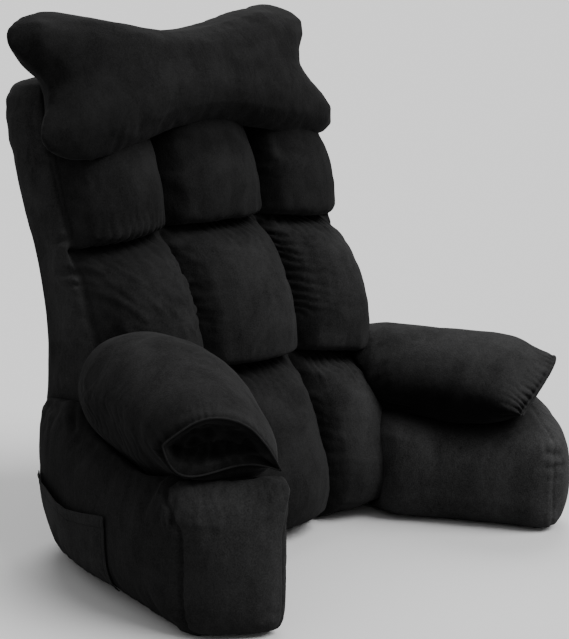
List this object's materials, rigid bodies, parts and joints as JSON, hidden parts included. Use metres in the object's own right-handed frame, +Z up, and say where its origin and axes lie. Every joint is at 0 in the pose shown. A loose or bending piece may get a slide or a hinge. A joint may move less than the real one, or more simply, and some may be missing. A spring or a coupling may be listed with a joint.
{
  "type": "reading pillow with arms",
  "caption": "Upholstered reading pillow: leaning tufted back cushion, two arms with rolled armrests, a bone-shaped head pillow and an open side pocket.",
  "frame": {"origin": "middle of the back cushion's flat underside, on the surface that the pillow stands on", "axes": "+X to the viewer's right when facing the front, +Y from the front to the rear, +Z up; the front faces -Y"},
  "size_m": [0.7918, 0.5979, 0.7686],
  "materials": {
    "plush": "black short-pile plush",
    "arm_plush": "black brushed plush, slightly coarser",
    "welt": "black corded welt"
  },
  "bodies": {
    "root": {"back_cushion": "plush", "head_pillow": "plush", "arm_left": "arm_plush", "arm_right": "arm_plush", "arm_roll_left": "plush", "arm_roll_right": "plush", "roll_welt_left": "welt", "roll_welt_right": "welt", "side_pocket": "plush"}
  },
  "joints": []
}
